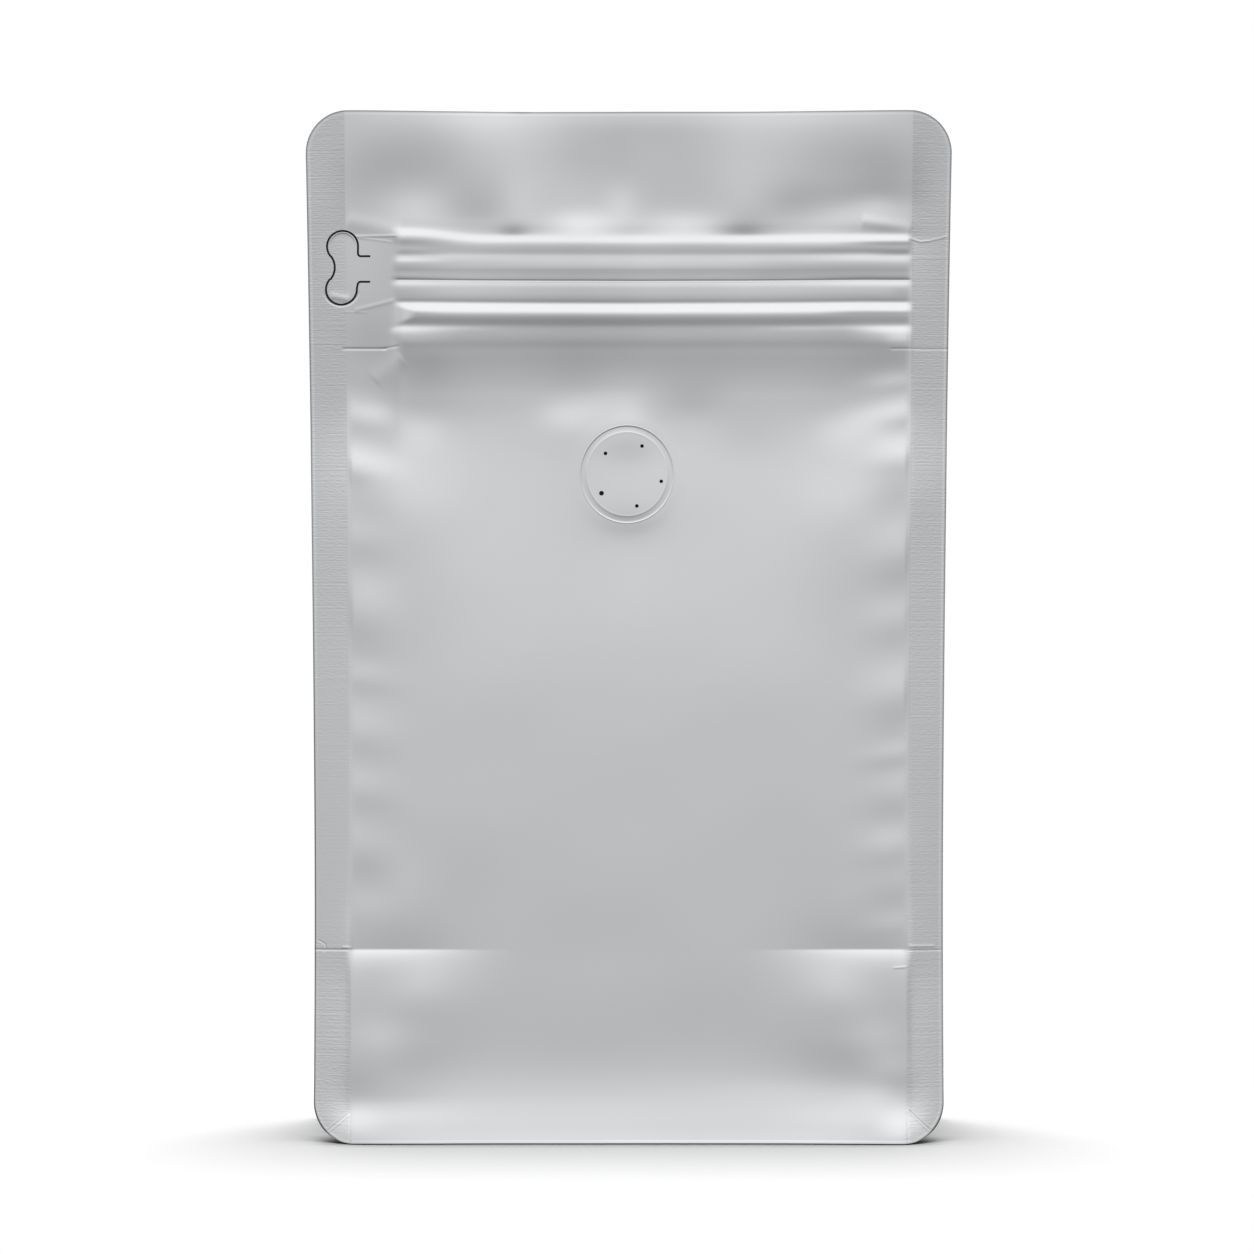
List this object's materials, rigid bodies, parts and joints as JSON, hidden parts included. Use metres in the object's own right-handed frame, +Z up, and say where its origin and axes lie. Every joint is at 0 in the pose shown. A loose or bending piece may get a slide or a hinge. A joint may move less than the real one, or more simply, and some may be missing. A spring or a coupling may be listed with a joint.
{
  "type": "foil stand-up pouch",
  "caption": "Flat-bottom foil pouch standing upright, with side seals, folded side gussets, zipper, tear tab and one-way valve.",
  "frame": {"origin": "middle of the footprint, on the ground under the pouch", "axes": "+Z up towards the mouth, front with the zipper and valve towards -Y, +X to the viewer's right"},
  "size_m": [0.1298, 0.0606, 0.2055],
  "materials": {
    "foil": "matte silver metallised film, finely grained along the seals",
    "valve_foil": "matte silver film pressed over the valve disc"
  },
  "bodies": {
    "root": {"pouch": "foil", "valve": "valve_foil"}
  },
  "joints": []
}
